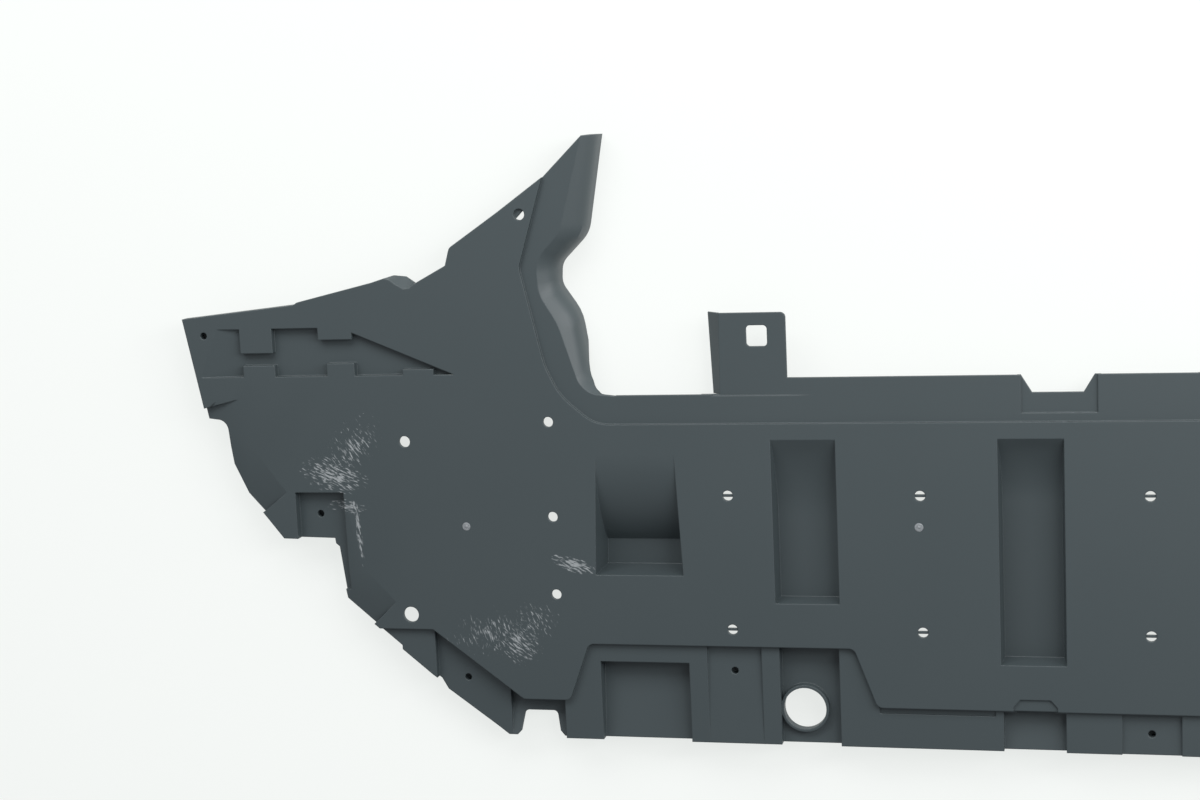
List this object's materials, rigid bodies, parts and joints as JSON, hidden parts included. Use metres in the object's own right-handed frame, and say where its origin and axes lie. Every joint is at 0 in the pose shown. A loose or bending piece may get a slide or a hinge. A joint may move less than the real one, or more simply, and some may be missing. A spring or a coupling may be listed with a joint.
{
  "type": "lower bumper guard",
  "caption": "Moulded plastic splash guard that closes the underside of a car's front bumper, with two swept wings, stiffening recesses and clip holes.",
  "frame": {"origin": "centre of the footprint, on the surface that the guard lies on", "axes": "+X across the vehicle, +Y from the front edge towards the rear edge and the wing ends, +Z out of the road side of the panel"},
  "size_m": [1.502, 0.474, 0.031],
  "materials": {
    "moulded_plastic": "fine moulded grain, satin"
  },
  "bodies": {
    "root": {"guard_panel": "moulded_plastic"}
  },
  "joints": []
}
